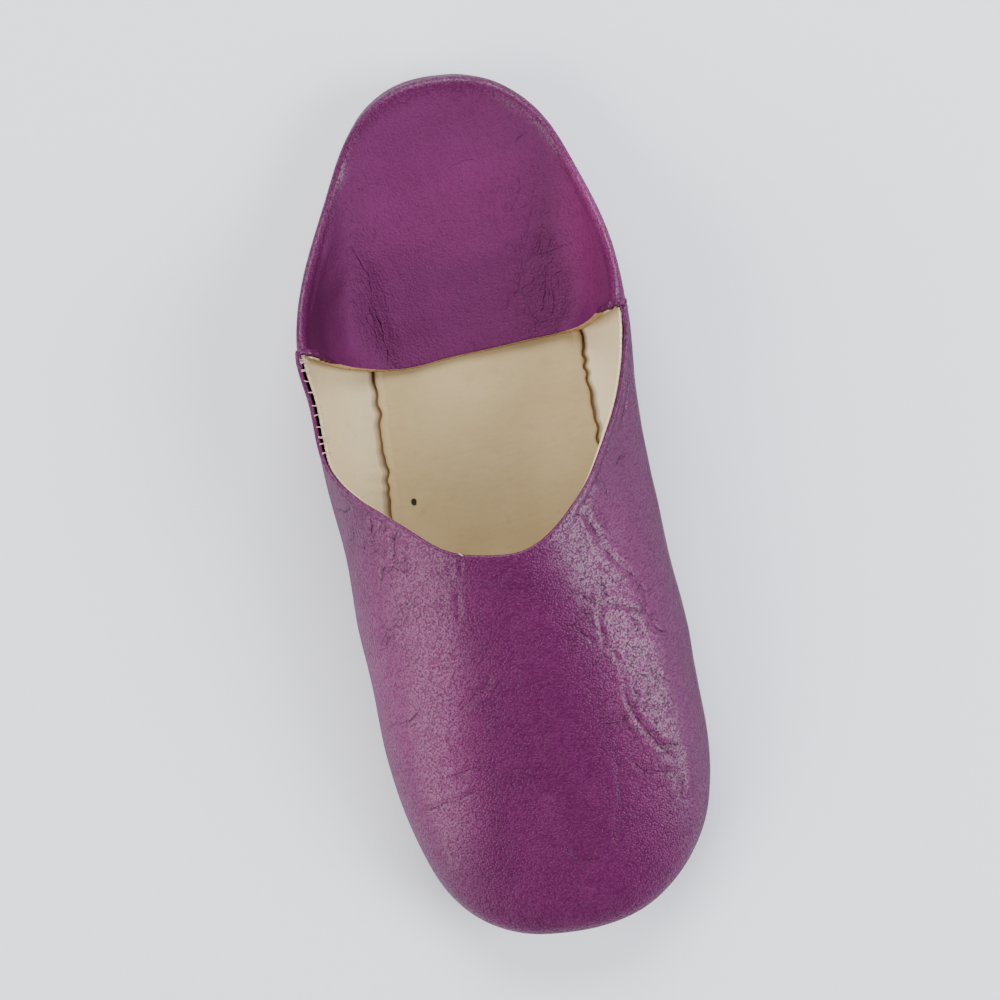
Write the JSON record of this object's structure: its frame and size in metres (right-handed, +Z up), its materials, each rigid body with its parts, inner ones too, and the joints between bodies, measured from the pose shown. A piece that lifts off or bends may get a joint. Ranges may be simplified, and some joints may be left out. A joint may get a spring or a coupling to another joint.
{
  "type": "babouche slipper",
  "caption": "Soft leather babouche slipper for the right foot, with a flat sole, a low throat and its heel quarter folded down over the insole.",
  "frame": {"origin": "on the floor, under the middle of the shoe's box", "axes": "+Z up, the toe points to -Y and the heel to +Y, +X is the big toe's side of this right shoe"},
  "size_m": [0.1014, 0.25, 0.0506],
  "materials": {
    "purple_leather": "semi-gloss dyed purple leather with a fine grain and soft creases",
    "natural_leather": "smooth undyed lining and insole leather",
    "sole_leather": "matt sole leather"
  },
  "bodies": {
    "root": {"outsole": "sole_leather", "insole": "natural_leather", "upper": "purple_leather", "heel_quarter": "purple_leather"}
  },
  "joints": []
}
